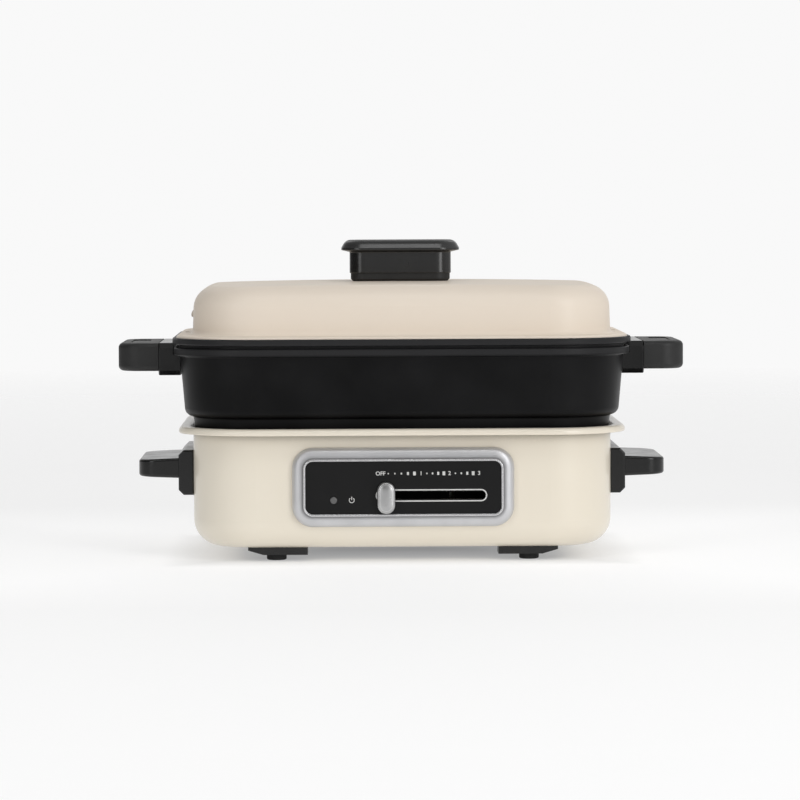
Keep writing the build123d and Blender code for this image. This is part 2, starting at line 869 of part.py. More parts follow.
def inlet_body(wall):
    """The socket's box through the rear wall, with a wall round the socket."""
    width = inlet_socket_width + 2 * wall
    height = inlet_socket_height + 2 * wall
    length = back_y + inlet_flange - inlet_body_end_y
    box = extrude(RectangleRounded(width, height, inlet_box_corner), amount=length)
    return Pos(0, inlet_body_end_y, inlet_z) * Rot(-90, 0, 0) * box


def power_inlet():
    plate = extrude(RectangleRounded(inlet_width, inlet_height, inlet_corner), amount=inlet_flange)
    plate = fillet(plate.faces().sort_by(Axis.Z)[-1].edges(), inlet_edge)
    shroud = Pos(0, back_y, inlet_z) * Rot(-90, 0, 0) * plate
    mouth = RectangleRounded(inlet_socket_width, inlet_socket_height, inlet_socket_corner)
    socket = extrude(mouth, amount=inlet_socket_depth + overrun)
    recess = Pos(0, inlet_body_end_y + inlet_floor, inlet_z) * Rot(-90, 0, 0) * socket
    body = shroud + inlet_body(inlet_wall) - recess
    for x in (-inlet_pin_span / 2, inlet_pin_span / 2):
        body -= inlet_pin_at(x)
    return body


def inlet_pin_at(x):
    start = (x, inlet_body_end_y - inlet_pin_tail, inlet_z)
    return rod(start, (x, back_y, inlet_z), inlet_pin_diameter)


def inlet_pins():
    pins = []
    for x in (-inlet_pin_span / 2, inlet_pin_span / 2):
        pin = inlet_pin_at(x)
        pins.append(fillet(pin.faces().sort_by(Axis.Y)[-1].edges(), inlet_pin_edge))
    return pins


def inner_wiring():
    """Leads from inlet to thermostat, thermostat to element, inlet to fuse and fuse to element."""
    pin = (inlet_pin_span / 2, inlet_body_end_y - inlet_pin_tail, inlet_z)
    end_x = element_end_span / 2
    end_z = element_end_z - 2 * terminal_length
    low_z = end_z - wire_drop
    tab_y = thermostat_y + thermostat_depth / 2 + thermostat_tab_length
    tab_z = thermostat_bottom + thermostat_tab_rise + thermostat_tab_thickness / 2
    fuse_z = reflector_floor_bottom - fuse_height / 2
    fuse_left = fuse_x - fuse_length / 2
    fuse_right = fuse_x + fuse_length / 2
    live = [
        pin,
        (pin[0], pin[1] - wire_lead, pin[2]),
        (wire_right_x, element_end_y, tab_z),
        (gear_x + thermostat_tab_span / 2, tab_y + wire_lead, tab_z),
        (gear_x + thermostat_tab_span / 2, tab_y, tab_z),
    ]
    switched = [
        (gear_x - thermostat_tab_span / 2, tab_y, tab_z),
        (gear_x - thermostat_tab_span / 2, tab_y + wire_lead, tab_z),
        (end_x, element_end_y - wire_lead, low_z),
        (end_x, element_end_y, low_z),
        (end_x, element_end_y, end_z),
    ]
    neutral = [
        (-pin[0], pin[1], pin[2]),
        (-pin[0], pin[1] - wire_lead, pin[2]),
        (fuse_left - wire_loop, element_end_y, pin[2]),
        (fuse_left - wire_loop, 0, fuse_z),
        (fuse_left, 0, fuse_z),
    ]
    fused = [
        (fuse_right, 0, fuse_z),
        (fuse_right + wire_lead, 0, fuse_z),
        (-end_x, element_end_y - wire_lead, low_z),
        (-end_x, element_end_y, low_z),
        (-end_x, element_end_y, end_z),
    ]
    return [lead(route) for route in (live, switched, neutral, fused)]


def lead(route):
    path = FilletPolyline(*route, radius=wire_bend)
    return sweep(Plane(origin=path @ 0, z_dir=path % 0) * Circle(wire_diameter / 2), path=path)


def pot_body():
    section = outlined(
        [
            (-body_corner, seat_height),
            (-pot_foot_inset, seat_height),
            (-pot_foot_top_inset, pot_shoulder),
            (pot_wall_low_reach, pot_shoulder),
            (pot_wall_top_reach, flange_bottom),
            (pot_flange_reach, flange_bottom),
            (pot_flange_reach, flange_top),
            (pot_groove_reach, flange_top),
            (pot_groove_reach, lip_bottom),
            (pot_lip_reach, lip_bottom),
            (pot_lip_reach, lip_top),
            (pot_lip_reach - pot_bead_width, lip_top),
            (pot_lip_reach - pot_bead_width, lid_seat),
            (pot_mouth_reach, lid_seat),
            (-pot_floor_inset, seat_height + pot_floor),
            (-body_corner, seat_height + pot_floor),
        ],
        [0, pot_edge, pot_edge, pot_bottom_radius, pot_edge, pot_edge, pot_edge, pot_fine_edge]
        + [pot_fine_edge, pot_edge, pot_edge, pot_fine_edge, 0, pot_edge, pot_floor_radius, 0],
    )
    wall = around(section, body_width, body_depth, body_corner)
    run_x = body_width / 2 - body_corner
    run_y = body_depth / 2 - body_corner
    floor = block((-run_x, -run_y, seat_height), (run_x, run_y, seat_height + pot_floor))
    pot = wall + floor
    lug = pot_lug()
    pot = pot + lug + mirror(lug, about=Plane.YZ)
    for each in four_corners(pot_screw_shank(screw_gap)):
        pot -= each
    return pot


def pot_lug():
    """The cast ear under the rim that a handle bracket closes round."""
    bottom = bracket_bottom + pot_lug_floor
    low = (side_x + pot_wall_low_reach, -pot_lug_length / 2, bottom)
    high = (bracket_inner_x + pot_lug_reach, pot_lug_length / 2, bottom + pot_lug_height)
    return block(low, high)


def pot_screw_shank(gap):
    x = bracket_inner_x + pot_lug_reach / 2
    y = pot_screw_span / 2
    bottom = bracket_bottom + pot_screw_head_height
    top = bracket_bottom + pot_lug_floor + pot_screw_bite
    return rod((x, y, bottom), (x, y, top), pot_screw_diameter + 2 * gap)


def pot_screw_sink(gap):
    x = bracket_inner_x + pot_lug_reach / 2
    y = pot_screw_span / 2
    top = bracket_bottom + pot_screw_head_height
    return rod((x, y, bracket_bottom), (x, y, top), pot_screw_head + 2 * gap)


def pot_bracket():
    low = (bracket_inner_x, -pot_bracket_length / 2, bracket_bottom)
    high = (bracket_outer_x, pot_bracket_length / 2, bracket_top)
    bracket = block(low, high)
    ends = bracket.edges().filter_by(Axis.X)
    bracket = chamfer(ends, pot_bracket_bevel)
    bracket = fillet(bracket.faces().sort_by(Axis.X)[-1].edges(), pot_bracket_edge)

    lug_bottom = bracket_bottom + pot_lug_floor
    pocket_half = pot_lug_length / 2 + slip_gap
    bracket -= block(
        (bracket_inner_x - overrun, -pocket_half, lug_bottom),
        (bracket_inner_x + pot_lug_reach + slip_gap, pocket_half, lug_bottom + pot_lug_height + slip_gap),
    )
    bracket -= block(
        (bracket_inner_x - overrun, -pot_bracket_length, flange_bottom - slip_gap),
        (side_x + pot_lip_reach + slip_gap, pot_bracket_length, bracket_top + overrun),
    )
    bracket -= pot_tenon(slip_gap / 2)
    for shape in (pot_screw_shank(screw_gap), pot_screw_sink(screw_gap)):
        bracket -= shape
        bracket -= mirror(shape, about=Plane.XZ)
    return bracket


def grip_middle():
    return bracket_top - pot_grip_height / 2


def pot_tenon(gap):
    """The tongue that carries a grip in its bracket, grown by a gap."""
    half = pot_tenon_length / 2 + gap
    rise = pot_tenon_height / 2 + gap
    low = (bracket_outer_x - pot_tenon_reach - gap, -half, grip_middle() - rise)
    high = (bracket_outer_x, half, grip_middle() + rise)
    return block(low, high)


def pot_grip():
    low = (bracket_outer_x, -pot_bracket_length / 2, bracket_top - pot_grip_height)
    high = (pot_grip_end_x, pot_bracket_length / 2, bracket_top)
    grip = block(low, high)
    tip = grip.faces().sort_by(Axis.X)[-1].edges().filter_by(Axis.Z)
    grip = fillet(tip, pot_grip_corner)
    outer = [edge for edge in grip.edges() if edge.center().X > bracket_outer_x + pot_fine_edge]
    level = [edge for edge in outer if abs(edge.center().Z - grip_middle()) > pot_grip_height / 4]
    grip = fillet(level, pot_grip_edge)
    thumb = SlotOverall(pot_thumb_length, pot_thumb_width, rotation=90)
    middle_x = (bracket_outer_x + pot_grip_end_x) / 2
    grip -= Pos(middle_x, 0, bracket_top - pot_thumb_depth) * extrude(thumb, amount=overrun)
    return grip + pot_tenon(0)


def lid_form(inset):
    """The lid's dome, drawn in by an inset: drafted walls, a slight crown and a wide top edge."""
    top = lid_top - inset
    walls = Pos(0, 0, lid_seat) * extrude(plan(lid_wall_reach - inset), amount=lid_height, taper=lid_draft)
    crown = Pos(0, 0, top - lid_crown_radius) * Rot(90, 0, 0) * Sphere(lid_crown_radius)
    dome = walls & crown
    return fillet(dome.faces().sort_by(Axis.Z)[-1].edges(), lid_edge_radius - inset)


def capsule(radius):
    """A round-ended bar along the lid's left side, where the steam vent is pressed out."""
    x = -(side_x + lid_wall_reach) + vent_sink
    z = lid_flange_top + vent_rise
    half = vent_length / 2 - vent_radius
    bar = rod((x, -half, z), (x, half, z), 2 * radius)
    for y in (-half, half):
        bar += Pos(x, y, z) * Sphere(radius)
    return bar


def lid_shell():
    reach = pot_lip_reach - pot_bead_width - slip_gap
    flange = slab(reach, lid_seat, lid_flange_top)
    flange = fillet(flange.faces().sort_by(Axis.Z)[-1].edges(), lid_flange_roll)
    outer = lid_form(0) + flange
    ledge = [face for face in outer.faces() if abs(face.center().Z - lid_flange_top) < pot_fine_edge]
    ledge = max(ledge, key=lambda face: face.area)
    outer = fillet(ledge.inner_wires()[0].edges(), lid_flange_bend)
    outer += capsule(vent_radius)
    hollow = lid_form(lid_sheet) + slab(reach - lid_sheet, lid_seat - overrun, lid_flange_top - lid_sheet)
    lid = outer - hollow - capsule(vent_radius - lid_sheet)
    x = side_x + lid_wall_reach
    mouth_top = lid_flange_top + vent_rise - vent_mouth
    lid -= block((-x - 2 * vent_radius, -vent_length, mouth_top - vent_radius), (-x, vent_length, mouth_top))
    slot = SlotOverall(lid_slot_length, lid_slot_width, rotation=90)
    for place in (-x - lid_slot_clear - lid_slot_width / 2, x + lid_slot_clear + lid_slot_width / 2):
        lid -= Pos(place, 0, lid_seat) * extrude(slot, amount=lid_flange_height + overrun)
    hole = rod((0, 0, lid_top - knob_height), (0, 0, lid_top + overrun), knob_screw_diameter + 2 * screw_gap)
    return lid - hole


def knob_base():
    width = knob_width - 2 * knob_base_inset
    depth = knob_depth - 2 * knob_base_inset
    base = extrude(RectangleRounded(width, depth, knob_corner - knob_base_inset), amount=knob_base_height)
    base = chamfer(base.faces().sort_by(Axis.Z)[0].edges(), knob_base_bevel)
    base = Pos(0, 0, lid_top) * base
    return base - knob_screw_shank(screw_gap)


def knob_body():
    cap_bottom = knob_height - knob_cap_height
    section = outlined(
        [
            (-knob_corner, 0),
            (0, 0),
            (0, cap_bottom - knob_cap_flare),
            (knob_cap_overhang, cap_bottom),
            (knob_cap_overhang, cap_bottom + knob_cap_lip),
            (knob_cap_overhang - knob_cap_slope, knob_height),
            (-knob_corner, knob_height),
        ],
        [0, knob_edge, knob_edge, knob_edge, knob_edge, knob_cap_roll, 0],
    )
    sides = around(section, knob_width, knob_depth, knob_corner)
    run_x = knob_width / 2 - knob_corner
    run_y = knob_depth / 2 - knob_corner
    core = block((-run_x, -run_y, 0), (run_x, run_y, knob_height))
    knob = Pos(0, 0, knob_seam) * (sides + core)
    return knob - knob_screw_shank(screw_gap)


def knob_screw_shank(gap):
    bottom = washer_top - knob_washer_thickness
    return rod((0, 0, bottom), (0, 0, bottom + knob_screw_length + gap), knob_screw_diameter + 2 * gap)


def knob_screw():
    top = washer_top - knob_washer_thickness
    head = rod((0, 0, top - knob_screw_head_height), (0, 0, top), knob_screw_head)
    head = fillet(head.faces().sort_by(Axis.Z)[0].edges(), knob_screw_head_height / 2)
    return head + knob_screw_shank(0)


def knob_washer():
    disc = rod((0, 0, washer_top - knob_washer_thickness), (0, 0, washer_top), knob_washer_diameter)
    return disc - knob_screw_shank(screw_gap)


def group(solids):
    """Separate solids kept together as one piece."""
    return Compound([solid for each in solids for solid in each.solids()])


def pieces():
    left_base_handle, right_base_handle = both_sides(base_handle())
    left_bracket, right_bracket = both_sides(pot_bracket())
    left_grip, right_grip = both_sides(pot_grip())
    made = {
        "base_housing": base_housing(),
        "bottom_cover": bottom_cover(),
        "bottom_screws": group(four_corners(foot_screw())),
        "base_handle_left": left_base_handle,
        "base_handle_right": right_base_handle,
        "base_handle_screws": group(four_corners(base_handle_screw())),
        "control_bezel": control_bezel(),
        "control_panel": control_panel(),
        "indicator_lens": indicator_lens(),
        "indicator_lamp": indicator_lamp(),
        "slide_knob": slide_knob(),
        "slide_rack": slide_rack(),
        "slide_track": slide_track(),
        "thermostat_pinion": thermostat_pinion(),
        "thermostat_shaft": thermostat_shaft(),
        "thermostat_body": thermostat_body(),
        "thermostat_tabs": group(thermostat_tabs()),
        "thermostat_bracket": thermostat_bracket(),
        "bracket_rivets": group(bracket_rivets()),
        "heat_reflector": heat_reflector(),
        "reflector_brackets": group(four_corners(reflector_bracket())),
        "heating_element": heating_element(),
        "element_clips": group(element_clips()),
        "element_terminals": group(element_terminals()),
        "thermal_fuse": thermal_fuse(),
        "power_inlet": power_inlet(),
        "inlet_pins": group(inlet_pins()),
        "inner_wiring": group(inner_wiring()),
        "pot_body": pot_body(),
        "pot_bracket_left": left_bracket,
        "pot_bracket_right": right_bracket,
        "pot_grip_left": left_grip,
        "pot_grip_right": right_grip,
        "pot_handle_screws": group(four_corners(pot_screw_shank(0) + pot_screw_sink(0))),
        "lid_shell": lid_shell(),
        "knob_base": knob_base(),
        "knob_body": knob_body(),
        "knob_screw": knob_screw(),
        "knob_washer": knob_washer(),
    }
    corner_names = ["rear_right", "front_right", "rear_left", "front_left"]
    for name, pad in zip(corner_names, four_corners(foot_pad())):
        made["foot_pad_" + name] = pad
    for name, peg in zip(corner_names, four_corners(foot_peg())):
        made["foot_peg_" + name] = peg
    return made


os.makedirs("parts", exist_ok=True)
for name, piece in pieces().items():
    export_step(piece, f"parts/{name}.step")
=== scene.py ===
import math

import bmesh
import bpy
from mathutils import Matrix, Quaternion, Vector


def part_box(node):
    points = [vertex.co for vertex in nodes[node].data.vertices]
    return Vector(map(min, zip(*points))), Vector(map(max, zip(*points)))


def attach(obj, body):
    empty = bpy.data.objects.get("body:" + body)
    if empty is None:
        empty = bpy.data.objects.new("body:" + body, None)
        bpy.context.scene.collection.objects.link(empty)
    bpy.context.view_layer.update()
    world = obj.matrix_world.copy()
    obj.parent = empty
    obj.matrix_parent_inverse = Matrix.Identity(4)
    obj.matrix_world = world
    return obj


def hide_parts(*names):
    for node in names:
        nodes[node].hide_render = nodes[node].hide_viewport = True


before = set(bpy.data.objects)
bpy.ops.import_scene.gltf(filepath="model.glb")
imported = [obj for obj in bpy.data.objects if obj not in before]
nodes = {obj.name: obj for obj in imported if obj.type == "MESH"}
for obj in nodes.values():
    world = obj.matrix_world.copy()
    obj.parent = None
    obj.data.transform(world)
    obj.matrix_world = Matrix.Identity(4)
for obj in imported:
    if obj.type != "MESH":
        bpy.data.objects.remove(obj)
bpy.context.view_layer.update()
mm = 0.001
weld = 0.001 * mm
print("frame loaded with", len(nodes), "nodes")


# shader helpers

def shade(red, green, blue):
    # a screen colour of 0 to 255 as a shader colour
    def lift(value):
        part = value / 255
        return part / 12.92 if part <= 0.04045 else ((part + 0.055) / 1.055) ** 2.4

    return (lift(red), lift(green), lift(blue), 1.0)


plainLook = {
    "edgeWidth": 0.45,  # of the rubbed corners and of painted edge highlights, mm
    "grainDepth": 0.1,  # mm
    "stretch": (1, 1, 1),
    "metal": 0.0,
    "specular": 0.5,
    "coat": 0.0,
    "coatRough": 0.05,
    "clear": 0.0,
}
texture = {
    "driftDetail": 4.0,
    "grainDetail": 2.0,
    "noiseSpan": (0.3, 0.7),
    "blendSpan": (0.32, 0.68),
    "wearAndHighlight": 0.7,
    "wearAndHighlightSpan": (0.80, 0.97),
    "wearAndHighlightSamples": 4,
    "shelterSamples": 8,
    "topSpan": (0.80, 0.98),
}
mixSockets = {"RGBA": (0, 6, 7, 2), "FLOAT": (0, 2, 3, 0)}  # factor, two inputs, output


def addNode(tree, kind, **settings):
    node = tree.nodes.new(kind)
    for name, value in settings.items():
        setattr(node, name, value)
    return node


def addMath(tree, operation, *values):
    # each value is a number or another node's output
    node = addNode(tree, "ShaderNodeMath", operation=operation)
    for socket, value in zip(node.inputs, values):
        if isinstance(value, float):
            socket.default_value = value
        else:
            tree.links.new(value, socket)
    return node.outputs["Value"]


def addSplit(tree, vector):
    split = addNode(tree, "ShaderNodeSeparateXYZ")
    tree.links.new(vector, split.inputs["Vector"])
    return split.outputs


def addNoise(tree, coords, scale, detail, stretch=(1, 1, 1)):
    mapping = addNode(tree, "ShaderNodeMapping")
    mapping.inputs["Scale"].default_value = stretch
    noise = addNode(tree, "ShaderNodeTexNoise")
    noise.inputs["Scale"].default_value = scale
    noise.inputs["Detail"].default_value = detail
    tree.links.new(coords, mapping.inputs["Vector"])
    tree.links.new(mapping.outputs["Vector"], noise.inputs["Vector"])
    return noise.outputs["Fac"]


def addRange(tree, source, span, fromSpan):
    spread = addNode(tree, "ShaderNodeMapRange")
    spread.inputs["From Min"].default_value, spread.inputs["From Max"].default_value = fromSpan
    spread.inputs["To Min"].default_value, spread.inputs["To Max"].default_value = span
    tree.links.new(source, spread.inputs["Value"])
    return spread.outputs["Result"]


def addBlend(tree, source, first, second):
    ramp = addNode(tree, "ShaderNodeValToRGB")
    stops = ramp.color_ramp.elements
    for stop, place, colour in zip(stops, texture["blendSpan"], (first, second)):
        stop.position = place
        stop.color = colour
    tree.links.new(source, ramp.inputs["Fac"])
    return ramp.outputs["Color"]


def addMix(tree, amount, first, second, kind="RGBA"):
    mix = addNode(tree, "ShaderNodeMix", data_type=kind)
    factor, here, there, out = mixSockets[kind]
    tree.links.new(amount, mix.inputs[factor])
    tree.links.new(first, mix.inputs[here])
    mix.inputs[there].default_value = second
    return mix.outputs[out]


def addEdgeWear(tree, colour, look):
    # rubbed corners, and on the lid and knob a painted highlight: where a rounded normal leaves the flat
    # one
    rounded = addNode(tree, "ShaderNodeBevel", samples=texture["wearAndHighlightSamples"])
    rounded.inputs["Radius"].default_value = look["edgeWidth"] * mm
    flat = addNode(tree, "ShaderNodeNewGeometry")
    along = addNode(tree, "ShaderNodeVectorMath", operation="DOT_PRODUCT")
    tree.links.new(rounded.outputs["Normal"], along.inputs[0])
    tree.links.new(flat.outputs["Normal"], along.inputs[1])
    amount = addRange(tree, along.outputs["Value"], (texture["wearAndHighlight"], 0.0), texture["wearAndHighlightSpan"])
    return addMix(tree, amount, colour, look["edge"])


def addCrevice(tree, colour, look):
    # painted shade: darker where the piece's own overhangs shelter it, as the shadow under the base's rim
    shelter = addNode(tree, "ShaderNodeAmbientOcclusion", only_local=True)
    shelter.samples = texture["shelterSamples"]
    shelter.inputs["Distance"].default_value = look["paintedShadeWidth"] * mm
    amount = addRange(tree, shelter.outputs["AO"], (1.0, 0.0), look["paintedShadeSpan"])
    return addMix(tree, amount, colour, look["paintedShade"])


def addBand(tree, coords, colour, look):
    # another tone above a height
    amount = addRange(tree, addSplit(tree, coords)["Z"], (0.0, 1.0), look["bandSpan"])
    return addMix(tree, amount, colour, look["band"])


def frontSpan(low, high):
    # middle and half sizes of a box, seen from the front
    middle = ((low[0] + high[0]) / 2, (low[2] + high[2]) / 2)
    half = ((high[0] - low[0]) / 2, (high[2] - low[2]) / 2)
    return middle, half


def addInward(tree, coords, groove):
    # distance inwards from a node's rounded outline, seen from the front
    low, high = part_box(groove["node"])
    corner = groove["corner"]
    split = addSplit(tree, coords)
    join = addNode(tree, "ShaderNodeCombineXYZ")
    for axis, centre, reach in zip("XZ", *frontSpan(low, high)):
        away = addMath(tree, "ABSOLUTE", addMath(tree, "SUBTRACT", split[axis], centre))
        past = addMath(tree, "SUBTRACT", away, reach - corner)
        tree.links.new(addMath(tree, "MAXIMUM", past, 0.0), join.inputs[axis])
    length = addNode(tree, "ShaderNodeVectorMath", operation="LENGTH")
    tree.links.new(join.outputs["Vector"], length.inputs[0])
    return addMath(tree, "SUBTRACT", corner, length.outputs["Value"])


def addGroove(tree, coords, colour, groove):
    # painted shade: the colour darkens towards the groove beside the lip and ends there, as the shade on
    # the frame's inner slope
    inward = addInward(tree, coords, groove)
    deep = addRange(tree, inward, (0.0, groove["depth"]), groove["span"])
    before = addMath(tree, "LESS_THAN", inward, groove["span"][1])
    return addMix(tree, addMath(tree, "MULTIPLY", deep, before), colour, groove["colour"])


def addTopRough(tree, rough, look):
    # upward faces are more matt than the sides
    flat = addNode(tree, "ShaderNodeNewGeometry")
    up = addSplit(tree, flat.outputs["Normal"])["Z"]
    amount = addRange(tree, up, (0.0, 1.0), texture["topSpan"])
    return addMix(tree, amount, rough, look["topRough"], "FLOAT")


def makeFinish(name, look):
    # colour drift, rubbed edges with a painted highlight on some, painted shade in hollows and grooves,
    # uneven gloss and a fine grain on one shader
    look = {**plainLook, **look}
    mat = bpy.data.materials.new(name)
    mat.use_nodes = True
    tree = mat.node_tree
    shader = tree.nodes["Principled BSDF"]
    coords = addNode(tree, "ShaderNodeTexCoord").outputs["Object"]
    drift = addNoise(tree, coords, look["driftScale"], texture["driftDetail"])
    colour = addBlend(tree, drift, look["colour"], look["drift"])
    if "band" in look:
        colour = addBand(tree, coords, colour, look)
    if "edge" in look:
        colour = addEdgeWear(tree, colour, look)
    if "paintedShade" in look:
        colour = addCrevice(tree, colour, look)
    if "groove" in look:
        colour = addGroove(tree, coords, colour, look["groove"])
    tree.links.new(colour, shader.inputs["Base Color"])
    smear = addNoise(tree, coords, look["glossScale"], texture["driftDetail"], look["stretch"])
    rough = addRange(tree, smear, look["rough"], texture["noiseSpan"])
    if "topRough" in look:
        rough = addTopRough(tree, rough, look)
    tree.links.new(rough, shader.inputs["Roughness"])
    grain = addNoise(tree, coords, look["grainScale"], texture["grainDetail"], look["stretch"])
    bump = addNode(tree, "ShaderNodeBump")
    bump.inputs["Strength"].default_value = look["grain"]
    bump.inputs["Distance"].default_value = look["grainDepth"] * mm
    tree.links.new(grain, bump.inputs["Height"])
    tree.links.new(bump.outputs["Normal"], shader.inputs["Normal"])
    shader.inputs["Metallic"].default_value = look["metal"]
    shader.inputs["Specular IOR Level"].default_value = look["specular"]
    shader.inputs["Coat Weight"].default_value = look["coat"]
    shader.inputs["Coat Roughness"].default_value = look["coatRough"]
    shader.inputs["Transmission Weight"].default_value = look["clear"]
    return mat


def dress(mat, *names):
    for name in names:
        mesh = nodes[name].data
        mesh.materials.clear()
        mesh.materials.append(mat)
        for face in mesh.polygons:
            face.material_index = 0


# painted sheet: the base and the lid

basePaint = makeFinish("baseEnamel", {
    "colour": shade(235, 227, 211),
    "drift": shade(233, 224, 207),
    "edge": shade(241, 236, 226),
    # painted shade under the rim and round the bezel, where the housing shelters itself
    "paintedShade": shade(78, 66, 46),
    "paintedShadeWidth": 16.0,
    "paintedShadeSpan": (0.32, 0.69),
    "driftScale": 5.0,
    "rough": (0.34, 0.39),
    "glossScale": 22.0,
    "grain": 0.05,
    "grainScale": 420.0,
    "grainDepth": 0.06,
    "specular": 0.4,
    "coat": 0.5,
    "coatRough": 0.06,
})
lidPaint = makeFinish("lidEnamel", {
    "colour": shade(236, 224, 209),
    "drift": shade(234, 221, 205),
    # painted highlight along the lid's edges and flange
    "edge": shade(250, 243, 233),
    "edgeWidth": 0.6,
    "driftScale": 5.0,
    "rough": (0.42, 0.47),
    "topRough": 0.65,
    "glossScale": 22.0,
    "grain": 0.06,
    "grainScale": 420.0,
    "grainDepth": 0.06,
    "specular": 0.28,
    "coat": 0.12,
    "coatRough": 0.12,
})
dress(basePaint, "base_housing")
dress(lidPaint, "lid_shell")
print("painted sheet done")

# black pieces

potCoating = makeFinish("nonStickCoating", {
    "colour": shade(5, 5, 6),
    "drift": shade(18, 18, 19),
    "edge": shade(38, 38, 39),
    "band": shade(42, 42, 43),
    "bandSpan": (144.5 * mm, 146.0 * mm),
    "driftScale": 22.0,
    "rough": (0.32, 0.44),
    "glossScale": 30.0,
    "grain": 0.30,
    "grainScale": 1500.0,
    "grainDepth": 0.05,
    "specular": 0.13,
})
glossBlack = makeFinish("glossMoulding", {
    "colour": shade(7, 7, 7),
    "drift": shade(12, 12, 12),
    "edge": shade(38, 38, 38),
    "driftScale": 40.0,
    "rough": (0.18, 0.25),
    "glossScale": 60.0,
    "grain": 0.08,
    "grainScale": 900.0,
    "grainDepth": 0.04,
})
knobBlack = makeFinish("knobMoulding", {
    "colour": shade(14, 14, 14),
    "drift": shade(20, 20, 20),
    # painted highlight along the cap's lip and the knob's edges
    "edge": shade(78, 78, 78),
    "edgeWidth": 0.6,
    "driftScale": 45.0,
    "rough": (0.22, 0.28),
    "topRough": 0.55,
    "glossScale": 60.0,
    "grain": 0.12,
    "grainScale": 1400.0,
    "grainDepth": 0.04,
    "specular": 0.8,
})
mattBlack = makeFinish("mattMoulding", {
    "colour": shade(20, 20, 20),
    "drift": shade(27, 27, 27),
    "edge": shade(46, 46, 46),
    "driftScale": 60.0,
    "rough": (0.46, 0.58),
    "glossScale": 80.0,
    "grain": 0.45,
    "grainScale": 2200.0,
    "grainDepth": 0.06,
})
handleBlack = makeFinish("satinMoulding", {
    "colour": shade(5, 5, 5),
    "drift": shade(9, 9, 9),
    "edge": shade(48, 48, 48),
    "driftScale": 50.0,
    "rough": (0.19, 0.27),
    "glossScale": 70.0,
    "grain": 0.20,
    "grainScale": 1800.0,
    "grainDepth": 0.05,
})
rubberBlack = makeFinish("footRubber", {
    "colour": shade(24, 24, 24),
    "drift": shade(32, 32, 32),
    "driftScale": 90.0,
    "rough": (0.7, 0.85),
    "glossScale": 90.0,
    "grain": 0.4,
    "grainScale": 2000.0,
})
corners = ["front_left", "front_right", "rear_left", "rear_right"]
dress(potCoating, "pot_body")
dress(glossBlack, "pot_bracket_left", "pot_bracket_right")
dress(knobBlack, "knob_body")
dress(mattBlack, "pot_grip_left", "pot_grip_right", "knob_base", "power_inlet")
dress(handleBlack, "base_handle_left", "base_handle_right", *["foot_pad_" + corner for corner in corners])
dress(rubberBlack, *["foot_peg_" + corner for corner in corners])
print("black pieces done")

# control panel

bezel = {
    "corner": 14.5 * mm,
    "edge": 4.2 * mm,  # height of the outer edge before rounding
    "radius": 5.0 * mm,
    "slope": 0.383,
    "fallFrom": 3.5 * mm,
    "fall": 70.0,  # how fast the face falls away to the lip, per metre
    "frame": 9.3 * mm,
    "lip": 1.6 * mm,
    "lipEdge": 0.45 * mm,
    "ledge": 1.0 * mm,
    "arcSteps": 8,
    "faceSteps": 10,
    "lipSteps": 4,
    "cornerSteps": 16,
    "sharp": 40.0,
}
bezelSilver = makeFinish("satinSilver", {
    "colour": shade(206, 206, 208),
    "drift": shade(198, 198, 200),
    "edge": shade(230, 230, 232),
    # painted shade on the frame's inner slope, darkest beside the lip
    "groove": {
        "node": "control_bezel",
        "corner": bezel["corner"],
        "colour": shade(96, 96, 98),
        "span": (5.0 * mm, 7.8 * mm),
        "depth": 0.62,
    },
    "driftScale": 60.0,
    "rough": (0.40, 0.47),
    "glossScale": 120.0,
    "grain": 0.25,
    "grainScale": 3200.0,
    "grainDepth": 0.03,
    "metal": 0.65,
})
slideSilver = makeFinish("slideSilver", {
    "colour": shade(184, 184, 184),
    "drift": shade(176, 176, 176),
    "edge": shade(222, 222, 222),
    "driftScale": 120.0,
    "rough": (0.26, 0.33),
    "glossScale": 150.0,
    "grain": 0.25,
    "grainScale": 3200.0,
    "grainDepth": 0.03,
    "metal": 0.85,
})
panelBlack = makeFinish("panelFace", {
    "colour": shade(9, 9, 10),
    "drift": shade(13, 13, 14),
    "driftScale": 40.0,
    "rough": (0.34, 0.42),
    "glossScale": 60.0,
    "grain": 0.10,
    "grainScale": 2400.0,
    "grainDepth": 0.03,
    "specular": 0.25,
})
# painted shade: near-black for the shade in the slot and in the screws' cross recesses
voidShadeBlack = makeFinish("voidShadeBlack", {
    "colour": shade(2, 2, 2),
    "drift": shade(4, 4, 4),
    "driftScale": 80.0,
    "rough": (0.7, 0.85),
    "glossScale": 90.0,
    "grain": 0.3,
    "grainScale": 1500.0,
    "specular": 0.04,
})
trimSilver = makeFinish("polishedTrim", {
    "colour": shade(214, 214, 215),
    "drift": shade(206, 206, 208),
    "driftScale": 90.0,
    "rough": (0.20, 0.28),
    "glossScale": 200.0,
    "grain": 0.15,
    "grainScale": 3200.0,
    "grainDepth": 0.02,
    "metal": 0.8,
})
lensGrey = makeFinish("lampLens", {
    "colour": shade(112, 112, 112),
    "drift": shade(98, 98, 98),
    "driftScale": 300.0,
    "rough": (0.22, 0.32),
    "glossScale": 300.0,
    "grain": 0.1,
    "grainScale": 1500.0,
    "clear": 0.15,
})
markWhite = makeFinish("printedMarks", {
    "colour": shade(214, 214, 212),
    "drift": shade(200, 200, 198),
    "driftScale": 700.0,
    "rough": (0.5, 0.6),
    "glossScale": 400.0,
    "grain": 0.1,
    "grainScale": 4000.0,
    "grainDepth": 0.02,
})
dress(bezelSilver, "control_bezel")
dress(slideSilver, "slide_knob")
dress(panelBlack, "control_panel")
dress(lensGrey, "indicator_lens")

